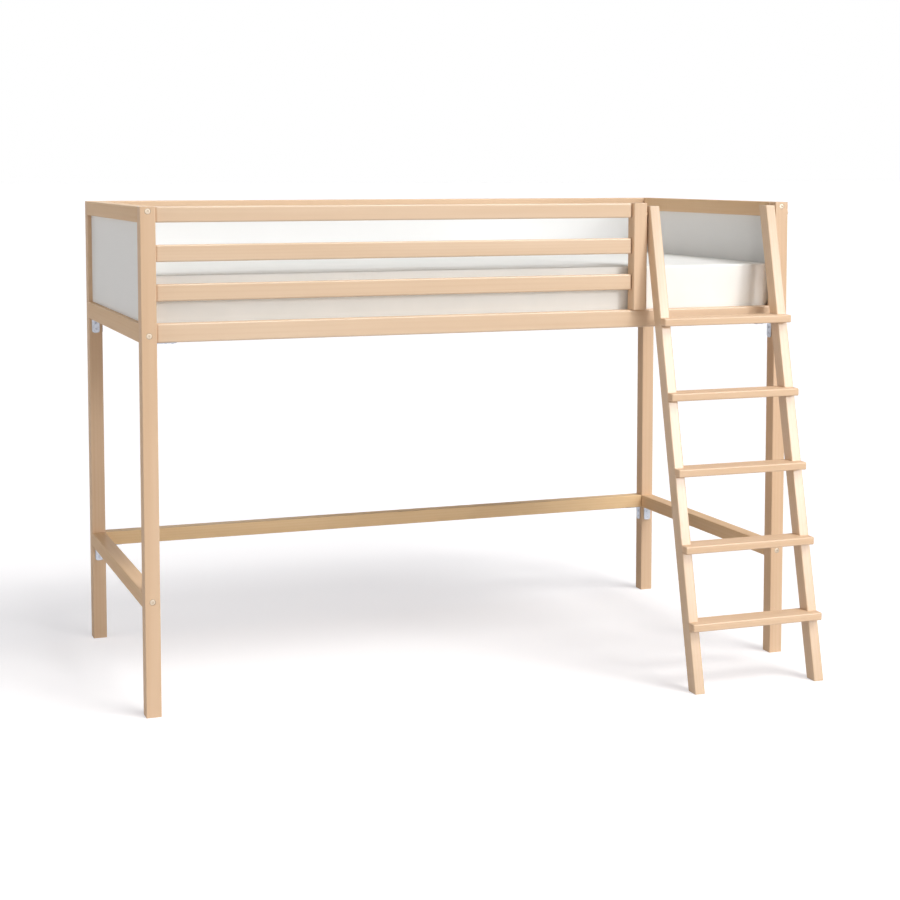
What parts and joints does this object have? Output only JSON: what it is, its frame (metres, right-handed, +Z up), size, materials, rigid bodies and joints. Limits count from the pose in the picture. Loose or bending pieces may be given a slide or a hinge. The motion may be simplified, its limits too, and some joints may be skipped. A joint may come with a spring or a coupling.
{
  "type": "loft bed",
  "caption": "Mid-height loft bed in light wood with white end and back panels, a railed front guard, a leaning ladder at one end, slats and a mattress.",
  "frame": {"origin": "floor level, under the middle of the whole object with its ladder", "axes": "+X along the bed towards the ladder end, +Y from the ladder side to the back, +Z up"},
  "size_m": [2.09, 1.328, 1.472],
  "materials": {
    "frame_wood": "clear matt lacquer over light, faintly streaked wood",
    "slat_wood": "planed and left bare",
    "white_board": "smooth white lacquer on board",
    "mattress_fabric": "white knitted cotton cover",
    "zinc_steel": "bright zinc plate",
    "nylon": "natural white nylon"
  },
  "bodies": {
    "root": {"back_panel": "white_board", "back_side_rail": "frame_wood", "back_stretcher": "frame_wood", "back_top_rail": "frame_wood", "bracket_back_left_lower": "zinc_steel", "bracket_back_left_upper": "zinc_steel", "bracket_back_right_lower": "zinc_steel", "bracket_back_right_upper": "zinc_steel", "bracket_end_front_left_lower": "zinc_steel", "bracket_end_front_left_upper": "zinc_steel", "bracket_end_front_right_lower": "zinc_steel", "bracket_end_front_right_upper": "zinc_steel", "bracket_end_rear_left_lower": "zinc_steel", "bracket_end_rear_left_upper": "zinc_steel", "bracket_end_rear_right_lower": "zinc_steel", "bracket_end_rear_right_upper": "zinc_steel", "bracket_front_left_upper": "zinc_steel", "bracket_front_right_upper": "zinc_steel", "end_lower_rail_left": "frame_wood", "end_lower_rail_right": "frame_wood", "end_panel_left": "white_board", "end_panel_right": "white_board", "end_stretcher_left": "frame_wood", "end_stretcher_right": "frame_wood", "end_top_rail_left": "frame_wood", "end_top_rail_right": "frame_wood", "front_side_rail": "frame_wood", "front_top_rail": "frame_wood", "guard_post": "frame_wood", "guard_rail_lower": "frame_wood", "guard_rail_upper": "frame_wood", "ladder_spacer_left": "nylon", "ladder_spacer_right": "nylon", "ladder_stile_left": "frame_wood", "ladder_stile_right": "frame_wood", "ladder_tread_1": "frame_wood", "ladder_tread_2": "frame_wood", "ladder_tread_3": "frame_wood", "ladder_tread_4": "frame_wood", "ladder_tread_5": "frame_wood", "mattress": "mattress_fabric", "post_front_left": "frame_wood", "post_front_right": "frame_wood", "post_rear_left": "frame_wood", "post_rear_right": "frame_wood", "slat_01": "slat_wood", "slat_02": "slat_wood", "slat_03": "slat_wood", "slat_04": "slat_wood", "slat_05": "slat_wood", "slat_06": "slat_wood", "slat_07": "slat_wood", "slat_08": "slat_wood", "slat_09": "slat_wood", "slat_10": "slat_wood", "slat_11": "slat_wood", "slat_12": "slat_wood", "slat_ledger_back": "frame_wood", "slat_ledger_front": "frame_wood"}
  },
  "joints": []
}
